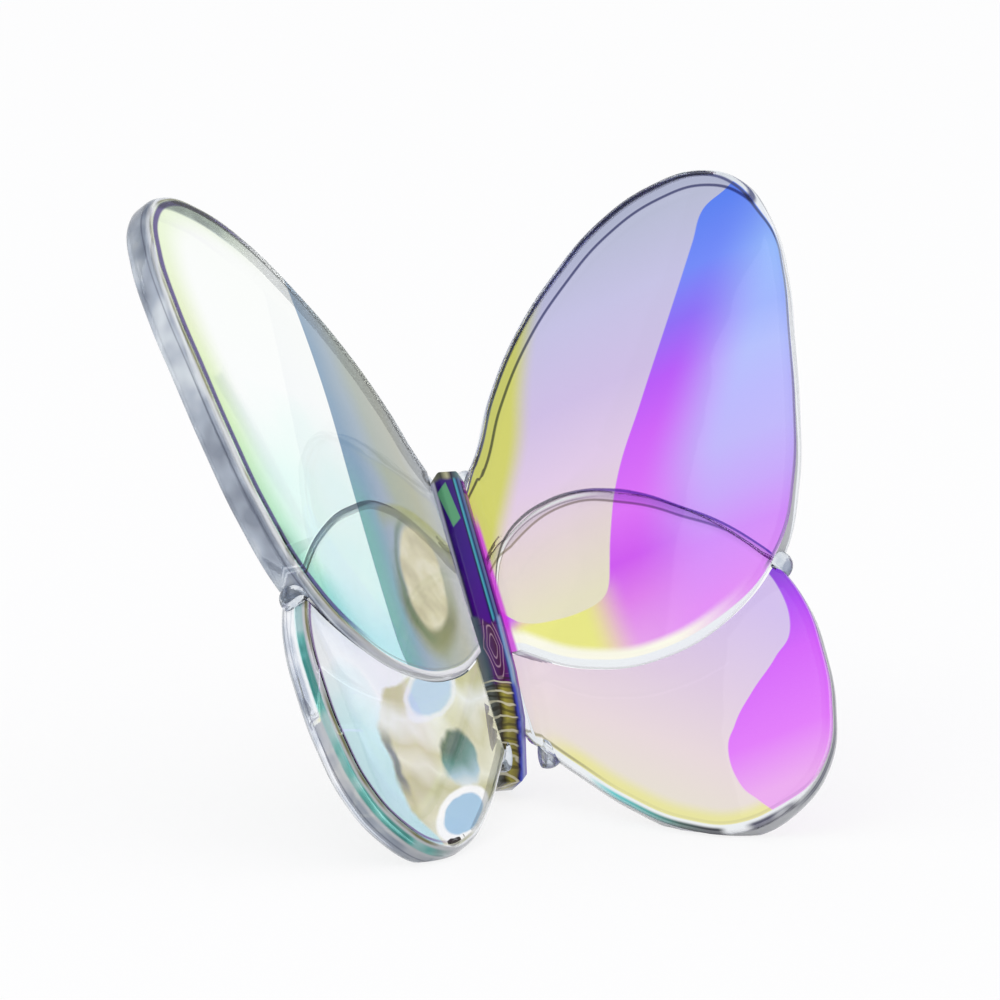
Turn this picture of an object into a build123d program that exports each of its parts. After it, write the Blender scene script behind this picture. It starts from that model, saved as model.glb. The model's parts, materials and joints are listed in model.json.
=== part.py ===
from build123d import *

import math
import os

# Butterfly ornament of coated crystal: four crowned wing plates bonded to a slim faceted body.
# It rests on the two hindwings and on the ground foot under the tail.
# The hinge line is where the planes of the left and right wings meet.
# Lengths are millimetres, angles are degrees, +Z is up and -Y is the side that the wings open to.

# Stance
HALF_ANGLE = 55.0  # between the plane of symmetry and each wing plane
LEAN = 47.0  # of the hinge line, backwards from upright
HINGE_HEIGHT = 8.95  # of the lower end of the hinge line over the table
HINGE_SETBACK = -5.19  # of that end behind the origin

# Forewing plate, measured in the wing plane from the hinge line
FOREWING_REACH = 43.1  # from the hinge line to the outer edge
FOREWING_LENGTH = 58.0  # along the hinge line
FOREWING_START = 1.3  # of the lowest point above the end of the hinge line
FOREWING_THICKNESS = 5.4  # at the crown
FOREWING_CROWN = 1.6  # rise of each face from the corner of the plate's bounding box
FOREWING_FACE = 0.5  # height of the front crown over the wing plane

# Hindwing plate, in the same plane
HINDWING_REACH = 33.4
HINDWING_LENGTH = 48.8
HINDWING_START = -21.8
HINDWING_THICKNESS = 4.9
HINDWING_CROWN = 1.1

# What the two plates share
FACE_STEP = 1.4  # of the hindwing's front crown behind the forewing's
RIM_FILLET = 1.25
ROOT_ROUND = 6.0  # of the front edge beside the body
BOND_DEPTH = 3.2  # of the lap joint under the forewing's front crown
BOND_GAP = 0.08  # around the walls of the lap joint

# Body bar, as depths behind the hinge line and levels along it
BODY_WIDTH = 4.0
BODY_CHAMFER = 0.9
HEAD_LEVEL = 33.9
HEAD_FRONT = -0.6
HEAD_BACK = 5.4
CREASE_LEVEL = 13.6  # of the flat joint between thorax and abdomen
CREASE_FRONT = 0.2
CREASE_BACK = 8.2
SHOULDER_LEVEL, SHOULDER_FRONT = 8.0, 0.8
HIP_LEVEL, HIP_FRONT = 2.6, 2.4
TAIL_LEVEL, TAIL_FRONT = -2.6, 7.0
TOE_LEVEL, TOE_FRONT = -1.4, 10.4
HEEL_LEVEL, HEEL_BACK = 2.3, 15.8

# Rings across the front of the abdomen
RING_COUNT = 5
RING_RADIUS = 0.8
RING_CUT = 0.2  # depth of each ring

# Beads of clear crystal at the notch and at the roots
NOTCH_BEAD_RADIUS = 1.6
HEAD_BEAD_RADIUS = 1.4
HEAD_BEAD_OUTSET = 0.6  # of its centre from the body's side
HEAD_BEAD_SHARE = 0.557  # of the forewing's length
TAIL_BEAD_RADIUS = 1.7
TAIL_BEAD_OUTSET = 0.6
TAIL_BEAD_SHARE = 0.387  # of the hindwing's length

# Outline points, as shares of each plate's reach and length, clockwise from the root
FOREWING_SHARES = (
    (-0.05, 0.49), (0.06, 0.57), (0.155, 0.695), (0.275, 0.81), (0.415, 0.90),
    (0.57, 0.97), (0.735, 1.0), (0.87, 0.985), (0.965, 0.92), (1.0, 0.815),
    (0.99, 0.69), (0.955, 0.56), (0.91, 0.41), (0.85, 0.26), (0.75, 0.12),
    (0.585, 0.025), (0.385, 0.0), (0.20, 0.045), (0.06, 0.13), (-0.06, 0.24), (-0.09, 0.37),
)
HINDWING_SHARES = (
    (-0.10, 0.72), (-0.02, 0.87), (0.13, 0.965), (0.34, 1.0), (0.54, 0.94),
    (0.72, 0.835), (0.85, 0.72), (0.945, 0.60), (0.995, 0.48), (1.0, 0.36),
    (0.975, 0.22), (0.90, 0.09), (0.76, 0.015), (0.58, 0.0), (0.40, 0.065),
    (0.235, 0.185), (0.11, 0.31), (0.01, 0.42), (-0.08, 0.53),
)

# Planes of the body, of its profile and of the right-hand wing
hinge = Plane(
    origin=(0, HINGE_SETBACK, HINGE_HEIGHT),
    x_dir=(1, 0, 0),
    z_dir=(0, math.sin(math.radians(LEAN)), math.cos(math.radians(LEAN))),
)
profile_plane = Plane(origin=hinge.origin, x_dir=hinge.y_dir, z_dir=hinge.x_dir)
spread_sine = math.sin(math.radians(HALF_ANGLE))
spread_cosine = math.cos(math.radians(HALF_ANGLE))
spread = hinge.x_dir * spread_sine - hinge.y_dir * spread_cosine
wing = Plane(origin=hinge.origin, x_dir=spread, z_dir=spread.cross(hinge.z_dir))

half_width = BODY_WIDTH / 2
body_side = Plane.YZ.offset(half_width)
bond_level = FOREWING_FACE - BOND_DEPTH
hindwing_face = FOREWING_FACE - FACE_STEP


fore_middle = Vector(FOREWING_REACH / 2, FOREWING_START + FOREWING_LENGTH / 2)
hind_middle = Vector(HINDWING_REACH / 2, HINDWING_START + HINDWING_LENGTH / 2)
fore_points = [
    Vector(FOREWING_REACH * across, FOREWING_START + FOREWING_LENGTH * up)
    for across, up in FOREWING_SHARES
]
hind_points = [
    Vector(HINDWING_REACH * across, HINDWING_START + HINDWING_LENGTH * up)
    for across, up in HINDWING_SHARES
]


def crown_lens(middle, half_diagonal, face, thickness, crown):
    """A round lens over the plate's bounding box, whose two faces give the plate its crowns."""
    radius = (half_diagonal**2 + crown**2) / (2 * crown)
    spread_angle = math.degrees(math.asin(half_diagonal / radius))
    centre = wing.offset(face - thickness / 2).from_local_coords(middle)
    with BuildPart() as lens:
        with BuildSketch(Plane(origin=centre, x_dir=wing.x_dir, z_dir=-wing.y_dir)):
            with BuildLine():
                front = CenterArc((0, thickness / 2 - radius), radius, 90, -spread_angle)
                back = CenterArc((0, radius - thickness / 2), radius, -90, spread_angle)
                Line(front @ 0, back @ 0)
                Line(front @ 1, back @ 1)
            make_face()
        revolve(axis=Axis(centre, wing.z_dir))
    return lens.part


def crowned_plate(points, lens, face, thickness):
    """A whole plate with both faces crowned and its rim rounded."""
    with BuildPart() as plate:
        with BuildSketch(wing.offset(face - thickness)):
            with BuildLine():
                Spline(*points, periodic=True)
            make_face()
        extrude(amount=thickness)
        add(lens, mode=Mode.INTERSECT)
        rims = plate.edges().filter_by(lambda edge: edge.length > thickness * 3)
        fillet(rims, RIM_FILLET)
    return plate.part


def root_room(face):
    """The room of a right-hand plate beside the body, rounded where its front meets the body."""
    far = FOREWING_REACH + FOREWING_LENGTH
    corner_depth = -(half_width * spread_cosine + face) / spread_sine
    corner = Vector(half_width, corner_depth)
    outer = corner + Vector(spread_sine, -spread_cosine) * far
    with BuildPart() as room:
        with BuildSketch(hinge.offset(-far)) as section:
            with BuildLine():
                Polyline(corner, outer, (outer.X, far), (half_width, far), close=True)
            make_face()
            fillet(section.vertices().sort_by_distance(corner)[0], ROOT_ROUND)
        extrude(amount=2 * far)
    return room.part


def lap_block(points, middle, low, high):
    """The column over a plate's outline between two heights, with the joint's gap around it."""
    loose_points = [point + (point - middle).normalized() * BOND_GAP for point in points]
    with BuildPart() as block:
        with BuildSketch(wing.offset(low)):
            with BuildLine():
                Spline(*loose_points, periodic=True)
            make_face()
        extrude(amount=high - low)
    return block.part


# Body, whole, before it is parted at the crease
body_profile = (
    (HEAD_FRONT, HEAD_LEVEL),
    (CREASE_FRONT, CREASE_LEVEL),
    (SHOULDER_FRONT, SHOULDER_LEVEL),
    (HIP_FRONT, HIP_LEVEL),
    (TAIL_FRONT, TAIL_LEVEL),
    (TOE_FRONT, TOE_LEVEL),
    (HEEL_BACK, HEEL_LEVEL),
    (CREASE_BACK, CREASE_LEVEL),
    (HEAD_BACK, HEAD_LEVEL),
)
tail_run = Vector(TAIL_FRONT - HIP_FRONT, TAIL_LEVEL - HIP_LEVEL)
ring_lift = RING_RADIUS - RING_CUT
ring_centres = [
    Vector(HIP_FRONT, HIP_LEVEL)
    + tail_run * ((index + 0.5) / RING_COUNT)
    + tail_run.normalized().rotate(Axis.Z, -90) * ring_lift
    for index in range(RING_COUNT)
]
with BuildPart() as body:
    with BuildSketch(profile_plane):
        with BuildLine():
            Polyline(*body_profile, close=True)
        make_face()
    extrude(amount=half_width, both=True)
    chamfer(body.faces().filter_by(Axis.X).edges(), BODY_CHAMFER)
    with BuildSketch(profile_plane):
        with Locations(*ring_centres):
            Circle(RING_RADIUS)
    extrude(amount=BODY_WIDTH, both=True, mode=Mode.SUBTRACT)

# Thorax with the head
with BuildPart() as thorax:
    add(body.part)
    split(bisect_by=hinge.offset(CREASE_LEVEL), keep=Keep.TOP)

# Abdomen with the ground foot
with BuildPart() as abdomen:
    add(body.part)
    split(bisect_by=hinge.offset(CREASE_LEVEL), keep=Keep.BOTTOM)
    split(bisect_by=Plane.XY, keep=Keep.TOP)

# Right forewing, cut away behind the joint where the hindwing lies
fore_half = math.hypot(FOREWING_REACH, FOREWING_LENGTH) / 2
fore_lens = crown_lens(fore_middle, fore_half, FOREWING_FACE, FOREWING_THICKNESS, FOREWING_CROWN)
fore_plate = crowned_plate(fore_points, fore_lens, FOREWING_FACE, FOREWING_THICKNESS)
fore_room = root_room(FOREWING_FACE)
hind_column = lap_block(hind_points, hind_middle, bond_level - FOREWING_THICKNESS, bond_level)
with BuildPart() as forewing_right:
    add(fore_plate)
    add(fore_room, mode=Mode.INTERSECT)
    add(hind_column, mode=Mode.SUBTRACT)

# Right hindwing, cut away in front of the joint where the forewing lies, and ground at its foot
hind_half = math.hypot(HINDWING_REACH, HINDWING_LENGTH) / 2
hind_lens = crown_lens(hind_middle, hind_half, hindwing_face, HINDWING_THICKNESS, HINDWING_CROWN)
hind_plate = crowned_plate(hind_points, hind_lens, hindwing_face, HINDWING_THICKNESS)
hind_room = root_room(hindwing_face)
fore_column = lap_block(fore_points, fore_middle, bond_level, bond_level + FOREWING_THICKNESS)
with BuildPart() as hindwing_right:
    add(hind_plate)
    add(hind_room, mode=Mode.INTERSECT)
    add(fore_column, mode=Mode.SUBTRACT)
    split(bisect_by=Plane.XY, keep=Keep.TOP)


# Beads of clear crystal: where the two outlines cross outside, under the head and beside the tail
with BuildLine(Plane.XY) as fore_outline:
    Spline(*fore_points, periodic=True)
with BuildLine(Plane.XY) as hind_outline:
    Spline(*hind_points, periodic=True)
crossings = fore_outline.edge().intersect(hind_outline.edge())
notch = crossings.sort_by(Axis.X)[-1]
bond = wing.offset(bond_level)


def bead_place(outset, level):
    """The place on the bond plane at an outset from the body's side and a level on the hinge line."""
    reach = (half_width + outset + bond_level * spread_cosine) / spread_sine
    return bond.location * Location((reach, level))


with BuildPart() as notch_bead_right:
    with Locations(bond.location * Location((notch.X, notch.Y))):
        Sphere(NOTCH_BEAD_RADIUS)
    add(fore_plate, mode=Mode.SUBTRACT)
    add(hind_plate, mode=Mode.SUBTRACT)

with BuildPart() as head_bead_right:
    with Locations(bead_place(HEAD_BEAD_OUTSET, FOREWING_START + FOREWING_LENGTH * HEAD_BEAD_SHARE)):
        Sphere(HEAD_BEAD_RADIUS)
    add(forewing_right.part, mode=Mode.SUBTRACT)
    add(hindwing_right.part, mode=Mode.SUBTRACT)
    add(thorax.part, mode=Mode.SUBTRACT)

with BuildPart() as tail_bead_right:
    with Locations(bead_place(TAIL_BEAD_OUTSET, HINDWING_START + HINDWING_LENGTH * TAIL_BEAD_SHARE)):
        Sphere(TAIL_BEAD_RADIUS)
    add(hind_plate, mode=Mode.SUBTRACT)
    split(bisect_by=body_side, keep=Keep.TOP)

# Left-hand pieces, the mirror images of the right-hand ones
with BuildPart() as forewing_left:
    add(forewing_right.part)
    mirror(about=Plane.YZ, mode=Mode.REPLACE)

with BuildPart() as hindwing_left:
    add(hindwing_right.part)
    mirror(about=Plane.YZ, mode=Mode.REPLACE)

with BuildPart() as notch_bead_left:
    add(notch_bead_right.part)
    mirror(about=Plane.YZ, mode=Mode.REPLACE)

with BuildPart() as head_bead_left:
    add(head_bead_right.part)
    mirror(about=Plane.YZ, mode=Mode.REPLACE)

with BuildPart() as tail_bead_left:
    add(tail_bead_right.part)
    mirror(about=Plane.YZ, mode=Mode.REPLACE)

thorax.part.label = "thorax"
abdomen.part.label = "abdomen"
forewing_right.part.label = "forewing_right"
forewing_left.part.label = "forewing_left"
hindwing_right.part.label = "hindwing_right"
hindwing_left.part.label = "hindwing_left"
notch_bead_right.part.label = "notch_bead_right"
notch_bead_left.part.label = "notch_bead_left"
head_bead_right.part.label = "head_bead_right"
head_bead_left.part.label = "head_bead_left"
tail_bead_right.part.label = "tail_bead_right"
tail_bead_left.part.label = "tail_bead_left"

os.makedirs("parts", exist_ok=True)
export_step(thorax.part, "parts/thorax.step")
export_step(abdomen.part, "parts/abdomen.step")
export_step(forewing_right.part, "parts/forewing_right.step")
export_step(forewing_left.part, "parts/forewing_left.step")
export_step(hindwing_right.part, "parts/hindwing_right.step")
export_step(hindwing_left.part, "parts/hindwing_left.step")
export_step(notch_bead_right.part, "parts/notch_bead_right.step")
export_step(notch_bead_left.part, "parts/notch_bead_left.step")
export_step(head_bead_right.part, "parts/head_bead_right.step")
export_step(head_bead_left.part, "parts/head_bead_left.step")
export_step(tail_bead_right.part, "parts/tail_bead_right.step")
export_step(tail_bead_left.part, "parts/tail_bead_left.step")
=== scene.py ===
"""Butterfly ornament of coated crystal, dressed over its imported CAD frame.

The four wing plates are modelled in the wing plane, lapped and ground as in the part's source.
The body and the beads are eased copies of the CAD solids.
"""

import json
import logging
import math
from abc import ABC, abstractmethod
from dataclasses import dataclass, field
from enum import Enum
from typing import Any, Callable, Sequence

import bmesh
import bpy
from mathutils import Matrix, Vector
from mathutils.kdtree import KDTree

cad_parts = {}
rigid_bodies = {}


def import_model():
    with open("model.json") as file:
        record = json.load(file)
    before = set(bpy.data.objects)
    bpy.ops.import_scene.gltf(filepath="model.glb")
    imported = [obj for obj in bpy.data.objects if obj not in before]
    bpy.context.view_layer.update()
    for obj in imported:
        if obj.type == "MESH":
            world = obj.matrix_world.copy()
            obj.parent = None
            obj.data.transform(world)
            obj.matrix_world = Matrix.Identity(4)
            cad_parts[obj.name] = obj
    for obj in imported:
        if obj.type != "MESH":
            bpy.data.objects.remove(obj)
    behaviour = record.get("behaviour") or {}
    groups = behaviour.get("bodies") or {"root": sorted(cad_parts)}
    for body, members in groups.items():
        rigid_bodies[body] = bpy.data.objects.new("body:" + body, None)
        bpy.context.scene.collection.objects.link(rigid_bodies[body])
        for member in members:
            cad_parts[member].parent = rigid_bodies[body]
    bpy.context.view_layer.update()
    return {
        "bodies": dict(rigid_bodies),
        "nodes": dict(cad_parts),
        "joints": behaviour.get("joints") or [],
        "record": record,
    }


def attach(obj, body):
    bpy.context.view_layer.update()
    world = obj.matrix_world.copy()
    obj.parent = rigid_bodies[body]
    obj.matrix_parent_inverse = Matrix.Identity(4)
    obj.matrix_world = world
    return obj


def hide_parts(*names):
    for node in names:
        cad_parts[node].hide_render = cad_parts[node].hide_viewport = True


MM = 0.001
ROOT = "root"

# A plate's two maps hold its distances, as shares of MAP_SCALE millimetres around MAP_SHIFT
RIM_MAP = "rim"
LAP_MAP = "lap"
MAP_SCALE = 100.0
MAP_SHIFT = 0.5

# In millimetres: points this near are one, a point this near to a plane lies in it, and a painted
# border is this soft on each side
MERGE = 0.002
TOUCH = 0.01
SOFT = 0.12

log = logging.getLogger("butterfly")

Colour = tuple[float, float, float, float]
Stop = tuple[float, Colour]
Point = tuple[float, float]

WHITE: Colour = (1, 1, 1, 1)


class Side(Enum):
    """The two sides of the ornament, with the sign of their x."""

    RIGHT = 1
    LEFT = -1

    @property
    def word(self) -> str:
        """The side as a part of a piece's name."""
        return self.name.lower()


class Slot(Enum):
    """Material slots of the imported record."""

    WING = "wing_crystal"
    BODY = "body_crystal"
    CLEAR = "clear_crystal"


class Cut(Enum):
    """What a cutting solid leaves of a piece."""

    INSIDE = "INTERSECT"
    OUTSIDE = "DIFFERENCE"


class Part(Enum):
    """The parts of a plate with a material of their own, and the share of light that passes."""

    FACE = 1.0
    RIM = 0.5


def tint(red: int, green: int, blue: int) -> Colour:
    """A display colour of 0 to 255 as the linear colour that the shader takes."""
    linear = [
        part / 12.92 if part <= 0.04045 else ((part + 0.055) / 1.055) ** 2.4
        for part in (red / 255, green / 255, blue / 255)
    ]
    return (linear[0], linear[1], linear[2], 1.0)


# Selecting and making


def only(piece: bpy.types.Object) -> None:
    """Deselect everything, then select one piece and make it active.

    Args:
        piece: The piece to select.
    """
    bpy.ops.object.select_all(action="DESELECT")
    piece.select_set(True)
    bpy.context.view_layer.objects.active = piece


def choose_edges(piece: bpy.types.Object, wanted: Callable[[bmesh.types.BMEdge], bool]) -> None:
    """Select in edit mode the edges that a test accepts.

    Args:
        piece: The object in edit mode.
        wanted: The test on each edge.
    """
    bpy.ops.mesh.select_mode(type="EDGE")
    bpy.ops.mesh.select_all(action="DESELECT")
    shape = bmesh.from_edit_mesh(piece.data)
    for edge in shape.edges:
        if wanted(edge):
            edge.select_set(True)
    shape.select_flush_mode()
    bmesh.update_edit_mesh(piece.data)


def apply_modifier(piece: bpy.types.Object, name: str) -> None:
    """Apply one modifier of a piece."""
    only(piece)
    bpy.ops.object.modifier_apply(modifier=name)


def cut_by(piece: bpy.types.Object, cutter: bpy.types.Object, kept: Cut) -> None:
    """Cut a piece by another solid, whose finish its new faces take, and delete that solid.

    Args:
        piece: The piece to cut.
        cutter: The solid that cuts it.
        kept: What is left of the piece.
    """
    cut = piece.modifiers.new("cut", "BOOLEAN")
    cut.operation = kept.value
    cut.solver = "EXACT"
    cut.material_mode = "TRANSFER"
    cut.object = cutter
    apply_modifier(piece, cut.name)
    bpy.data.objects.remove(cutter)


def face_outward(piece: bpy.types.Object) -> None:
    """Merge doubled points, then turn every face of a closed piece outward.

    Args:
        piece: The closed piece.
    """
    only(piece)
    bpy.ops.object.mode_set(mode="EDIT")
    bpy.ops.mesh.select_all(action="SELECT")
    bpy.ops.mesh.remove_doubles(threshold=MERGE * MM)
    bpy.ops.mesh.normals_make_consistent(inside=False)
    bpy.ops.object.mode_set(mode="OBJECT")


def smooth(piece: bpy.types.Object, degrees: float) -> None:
    """Shade a piece smooth where its faces meet at less than an angle."""
    only(piece)
    bpy.ops.object.shade_smooth_by_angle(angle=math.radians(degrees))


# Shader maths


class Value:
    """A number in a node tree, whose operators add the Math nodes."""

    def __init__(self, paint: "Paint", socket: bpy.types.NodeSocket) -> None:
        """Keep the socket and the paint that it belongs to."""
        self.paint = paint
        self.socket = socket

    def __add__(self, other: "Number") -> "Value":
        """self + other."""
        return self.paint.maths("ADD", self, other)

    def __radd__(self, other: float) -> "Value":
        """other + self."""
        return self.paint.maths("ADD", other, self)

    def __sub__(self, other: "Number") -> "Value":
        """self - other."""
        return self.paint.maths("SUBTRACT", self, other)

    def __rsub__(self, other: float) -> "Value":
        """other - self."""
        return self.paint.maths("SUBTRACT", other, self)

    def __mul__(self, other: "Number") -> "Value":
        """self * other."""
        return self.paint.maths("MULTIPLY", self, other)

    def __rmul__(self, other: float) -> "Value":
        """other * self."""
        return self.paint.maths("MULTIPLY", other, self)

    def __neg__(self) -> "Value":
        """The opposite number."""
        return self.paint.maths("MULTIPLY", self, -1.0)

    def __abs__(self) -> "Value":
        """The number without its sign."""
        return self.paint.maths("ABSOLUTE", self)


Number = Value | float


class Paint:
    """The node tree of a material or the world, with one method for every kind of node."""

    # The least channel of a deepened colour, so that none falls below zero before it is squared
    DARKEST = 0.002

    def __init__(
        self,
        owner: bpy.types.Material | bpy.types.World,
        output: str = "ShaderNodeOutputMaterial",
    ) -> None:
        """Start an empty tree.

        Args:
            owner: The material or world that the tree belongs to.
            output: The type of the tree's last node.
        """
        self.owner = owner
        self.owner.use_nodes = True
        self.tree = self.owner.node_tree
        self.tree.nodes.clear()
        self.out = self.tree.nodes.new(output)

    def node(self, kind: str, settings: dict[str, Any], inputs: dict[Any, Any]) -> bpy.types.Node:
        """Add a node.

        Args:
            kind: The node's type.
            settings: Its settings, set before anything else; a ramp's stops and a curve's points too.
            inputs: Values or links of its sockets, by name or place.

        Returns:
            The new node.
        """
        made = self.tree.nodes.new(kind)
        for key, value in settings.items():
            if key == "stops":
                self._set_stops(made.color_ramp, value)
            elif key == "points":
                self._set_points(made.mapping, value)
            else:
                setattr(made, key, value)
        for key, value in inputs.items():
            self.feed(made.inputs[key], value)
        return made

    def feed(self, socket: bpy.types.NodeSocket, value: Any) -> None:
        """Link a socket to a value or another socket, or set it.

        Args:
            socket: The socket to feed.
            value: The value, the other socket or the plain number or colour.
        """
        if isinstance(value, Value):
            self.tree.links.new(value.socket, socket)
        elif isinstance(value, bpy.types.NodeSocket):
            self.tree.links.new(value, socket)
        else:
            socket.default_value = value

    @staticmethod
    def _set_stops(ramp: bpy.types.ColorRamp, stops: Sequence[Stop]) -> None:
        """Give a ramp its stops.

        Args:
            ramp: The ramp of a new node.
            stops: Its stops, in rising order.
        """
        while len(ramp.elements) > 1:
            ramp.elements.remove(ramp.elements[-1])
        ramp.elements[0].position, ramp.elements[0].color = stops[0]
        for place, colour in stops[1:]:
            ramp.elements.new(place).color = colour

    @staticmethod
    def _set_points(mapping: bpy.types.CurveMapping, points: Sequence[Point]) -> None:
        """Give a curve its points.

        Args:
            mapping: The curve of a new node.
            points: Its points, in rising order.
        """
        curve = mapping.curves[0]
        curve.points[0].location = points[0]
        curve.points[1].location = points[-1]
        for point in points[1:-1]:
            curve.points.new(*point)
        mapping.update()

    def maths(self, operation: str, *values: Number) -> Value:
        """Work out an operation of a Math node."""
        made = self.node("ShaderNodeMath", {"operation": operation}, dict(enumerate(values)))
        return Value(self, made.outputs[0])

    def smooth_least(self, first: Number, second: Number, reach: float) -> Value:
        """The lesser of two numbers, rounded where they cross."""
        return self.maths("SMOOTH_MIN", first, second, reach)

    def rise(self, value: Number, low: float, high: float) -> Value:
        """A smooth rise from 0 at one value to 1 at another, which may be the lower one."""
        made = self.node(
            "ShaderNodeMapRange",
            {"interpolation_type": "SMOOTHSTEP"},
            {"Value": value, "From Min": low, "From Max": high},
        )
        return Value(self, made.outputs[0])

    def band(self, value: Number, low: float, high: float, soft: float) -> Value:
        """1 between two values, with soft ends."""
        return self.rise(value, low - soft, low + soft) * self.rise(value, high + soft, high - soft)

    def curve(self, value: Number, points: Sequence[Point]) -> Value:
        """A smooth curve through points.

        Args:
            value: The number along the curve.
            points: Where the curve passes, each a number along it and its height.

        Returns:
            The height.
        """
        start, end = points[0][0], points[-1][0]
        heights = [height for _, height in points]
        low, high = min(heights), max(heights)
        flat = [((at - start) / (end - start), (height - low) / (high - low)) for at, height in points]
        share = (value - start) * (1 / (end - start))
        made = self.node("ShaderNodeFloatCurve", {"points": flat}, {"Value": share})
        return Value(self, made.outputs[0]) * (high - low) + low

    def ramp(self, value: Value, stops: Sequence[Stop]) -> bpy.types.NodeSocket:
        """A colour that changes with a number.

        Args:
            value: The number, in the units of the stops.
            stops: The colours and where each is, in rising order.

        Returns:
            The colour's socket.
        """
        start, end = stops[0][0], stops[-1][0]
        scaled = [((at - start) / (end - start), colour) for at, colour in stops]
        share = (value - start) * (1 / (end - start))
        made = self.node("ShaderNodeValToRGB", {"stops": scaled}, {"Fac": share})
        return made.outputs["Color"]

    def over(self, under: Any, colour: Any, amount: Number) -> bpy.types.NodeSocket:
        """Lay a colour over another, by an amount of 0 to 1."""
        made = self.node(
            "ShaderNodeMix", {"data_type": "RGBA"}, {"Factor": amount, 6: under, 7: colour}
        )
        return made.outputs[2]

    def vectors(self, operation: str, *values: Any) -> bpy.types.NodeSocket:
        """Work out an operation of a Vector Math node on colours."""
        inputs = dict(enumerate(values))
        return self.node("ShaderNodeVectorMath", {"operation": operation}, inputs).outputs[0]

    def deepen(self, colour: bpy.types.NodeSocket, sheen: float) -> bpy.types.NodeSocket:
        """The base colour that clear crystal needs to show a colour once through one coated face.

        Args:
            colour: The colour to show.
            sheen: The white that the surface's own reflection adds.

        Returns:
            The base colour, whose square root tints the light that enters.
        """
        scale = 1 / (1 - sheen)
        less = self.vectors("MULTIPLY_ADD", colour, (scale,) * 3, (-sheen * scale,) * 3)
        kept = self.vectors("MAXIMUM", less, (self.DARKEST,) * 3)
        return self.vectors("MULTIPLY", kept, kept)

    def noise(self, place: bpy.types.NodeSocket, scale: float, detail: float = 2.0) -> Value:
        """Soft noise over a place, around 0.5."""
        made = self.node(
            "ShaderNodeTexNoise", {}, {"Vector": place, "Scale": scale, "Detail": detail}
        )
        return Value(self, made.outputs[0])

    def ray(self, kind: str) -> Value:
        """1 for rays of one kind, by the name of the Light Path node's socket."""
        return Value(self, self.node("ShaderNodeLightPath", {}, {}).outputs[kind])

    def object_place(self) -> bpy.types.NodeSocket:
        """The place on the piece, which is the place in the frame, in metres."""
        return self.node("ShaderNodeTexCoord", {}, {}).outputs["Object"]

    def along(self, place: bpy.types.NodeSocket, origin: Vector, direction: Vector) -> Value:
        """How far a place is from an origin along a direction.

        Args:
            place: The place, in metres.
            origin: The origin, in metres.
            direction: The direction, one unit long.

        Returns:
            The distance in millimetres.
        """
        made = self.node(
            "ShaderNodeVectorMath",
            {"operation": "DOT_PRODUCT"},
            {0: place, 1: tuple(direction / MM)},
        )
        return Value(self, made.outputs["Value"]) - origin.dot(direction) / MM

    def mapped(self, name: str) -> Value:
        """The distance in millimetres that a plate's map holds.

        Args:
            name: The map's name.

        Returns:
            The distance.
        """
        source = self.node("ShaderNodeUVMap", {"uv_map": name}, {}).outputs[0]
        parts = self.node("ShaderNodeSeparateXYZ", {}, {0: source})
        return (Value(self, parts.outputs[0]) - MAP_SHIFT) * MAP_SCALE

    def end(self, shader: bpy.types.Node) -> Any:
        """End the tree with a shader, and give back the material or world."""
        self.tree.links.new(shader.outputs[0], self.out.inputs["Surface"])
        return self.owner

    def shader(self, inputs: dict[str, Any]) -> bpy.types.Material:
        """End the tree with a Principled shader of these sockets."""
        return self.end(self.node("ShaderNodeBsdfPrincipled", {}, inputs))


# The wing plane


@dataclass(frozen=True)
class WingPlane:
    """The plane of one wing, from the hinge line where both wings' planes meet."""

    side: Side
    half_angle: float = 55.0
    lean: float = 47.0
    hinge_height: float = 8.95
    hinge_setback: float = -5.19

    @property
    def origin(self) -> Vector:
        """The lower end of the hinge line."""
        return Vector((0, self.hinge_setback * MM, self.hinge_height * MM))

    @property
    def rise(self) -> Vector:
        """The direction of the hinge line, upward."""
        lean = math.radians(self.lean)
        return Vector((0, math.sin(lean), math.cos(lean)))

    @property
    def depth(self) -> Vector:
        """The direction from the hinge line into the body."""
        lean = math.radians(self.lean)
        return Vector((0, math.cos(lean), -math.sin(lean)))

    @property
    def spread(self) -> Vector:
        """The direction across the wing.

        Returns:
            The direction from the hinge line outward.
        """
        angle = math.radians(self.half_angle)
        across = Vector((self.side.value * math.sin(angle), 0, 0))
        return across - self.depth * math.cos(angle)

    @property
    def front(self) -> Vector:
        """The direction in which the wing's front faces."""
        return self.spread.cross(self.rise) * self.side.value

    def matrix(self, level: float) -> Matrix:
        """The transform from wing coordinates at a level to the frame."""
        turn = Matrix((self.spread, self.rise, self.front)).transposed()
        return Matrix.Translation(self.origin + self.front * level) @ turn.to_4x4()

    def place(self, piece: bpy.types.Object, level: float) -> None:
        """Put a piece drawn in wing coordinates in its place in the frame.

        Args:
            piece: The piece.
            level: The level of its middle plane, in metres.
        """
        piece.matrix_world = self.matrix(level)
        only(piece)
        bpy.ops.object.transform_apply(location=True, rotation=True, scale=True)


# Finishes


@dataclass(frozen=True)
class WingPlaces:
    """The numbers that a wing finish is painted by, in millimetres."""

    across: Value
    up: Value
    rim: Value
    lap: Value
    side: Value
    place: bpy.types.NodeSocket


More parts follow.
